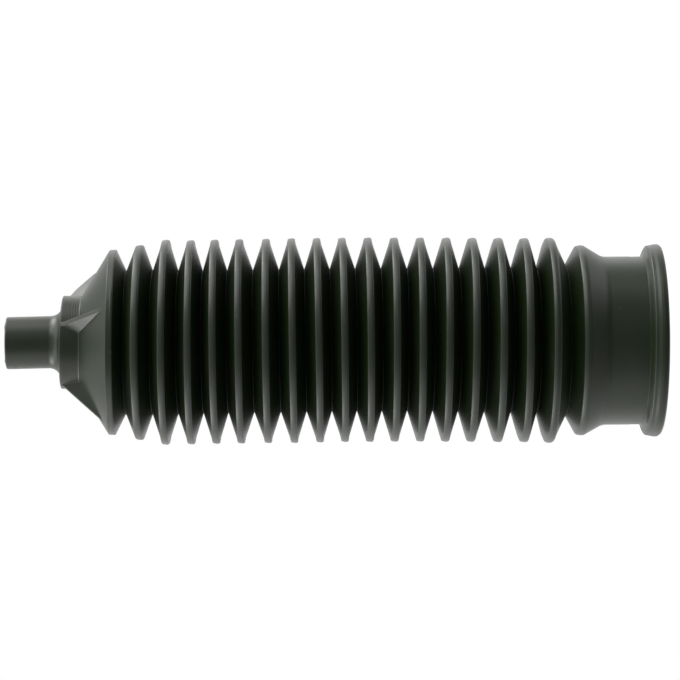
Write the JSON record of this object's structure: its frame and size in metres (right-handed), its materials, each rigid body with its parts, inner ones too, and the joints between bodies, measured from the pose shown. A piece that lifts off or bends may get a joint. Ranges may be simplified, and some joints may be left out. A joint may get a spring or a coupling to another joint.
{
  "type": "steering rack boot",
  "caption": "Rubber bellows that seals a steering rack: wide flanged end for the housing, narrow neck for the tie rod, cone stiffened by gussets.",
  "frame": {"origin": "centre of the wide end's open face, which is also the centre of the base it stands on", "axes": "+Z along the boot's axis, from the wide end to the neck; a gusset lies on each of +X, +Y, -X and -Y"},
  "size_m": [0.0636, 0.0636, 0.2038],
  "materials": {
    "black_rubber": "satin, moulded"
  },
  "bodies": {
    "root": {"rack_boot": "black_rubber"}
  },
  "joints": []
}
